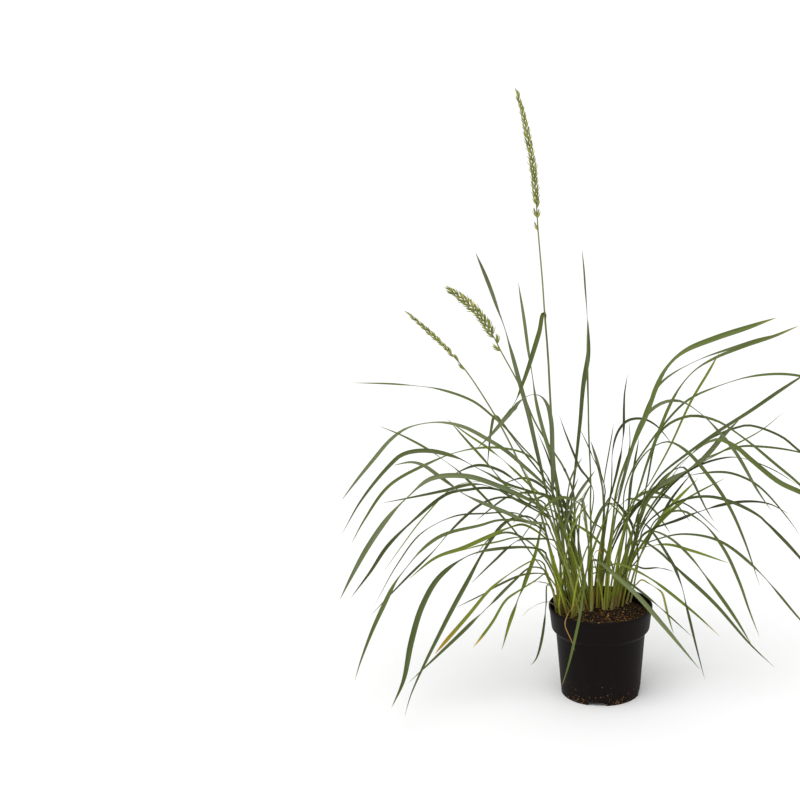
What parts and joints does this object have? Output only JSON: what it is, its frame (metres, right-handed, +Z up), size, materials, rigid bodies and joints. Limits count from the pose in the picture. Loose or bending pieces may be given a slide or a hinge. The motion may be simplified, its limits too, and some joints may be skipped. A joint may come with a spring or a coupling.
{
  "type": "potted blue lyme grass",
  "caption": "Clump of arching blue-green grass blades with tall flower stalks, rooted in soil in a round black nursery pot with a flat foot.",
  "frame": {"origin": "centre of the pot's underside, on the surface it stands on", "axes": "+Z up along the pot's axis, -Y towards the front that the picture shows, +X to the right of that front"},
  "size_m": [0.8484, 0.56, 0.9947],
  "materials": {
    "pot": "satin black moulded plastic, dusty near the foot",
    "soil": "rough, crumbly dark brown potting soil with bark flecks",
    "leaves": "dull grey-green to blue-green grass blades, ribbed lengthwise",
    "straw": "pale green to straw-coloured flower stalks and husks"
  },
  "bodies": {
    "root": {"pot": "pot", "soil": "soil", "shoot_01": "leaves", "shoot_02": "leaves", "shoot_03": "leaves", "shoot_04": "leaves", "shoot_05": "leaves", "shoot_06": "leaves", "shoot_07": "leaves", "shoot_08": "leaves", "shoot_09": "leaves", "shoot_10": "leaves", "shoot_11": "leaves", "shoot_12": "leaves", "shoot_13": "leaves", "shoot_14": "leaves", "shoot_15": "leaves", "shoot_16": "leaves", "shoot_17": "leaves", "shoot_18": "leaves", "shoot_19": "leaves", "shoot_20": "leaves", "shoot_21": "leaves", "shoot_22": "leaves", "shoot_23": "leaves", "shoot_24": "leaves", "shoot_25": "leaves", "shoot_26": "leaves", "shoot_27": "leaves", "shoot_28": "leaves", "shoot_29": "leaves", "shoot_30": "leaves", "shoot_31": "leaves", "shoot_32": "leaves", "shoot_33": "leaves", "shoot_34": "leaves", "shoot_35": "leaves", "shoot_36": "leaves", "shoot_37": "leaves", "flower_stalk_1": "straw", "flower_stalk_2": "straw", "flower_stalk_3": "straw"}
  },
  "joints": []
}
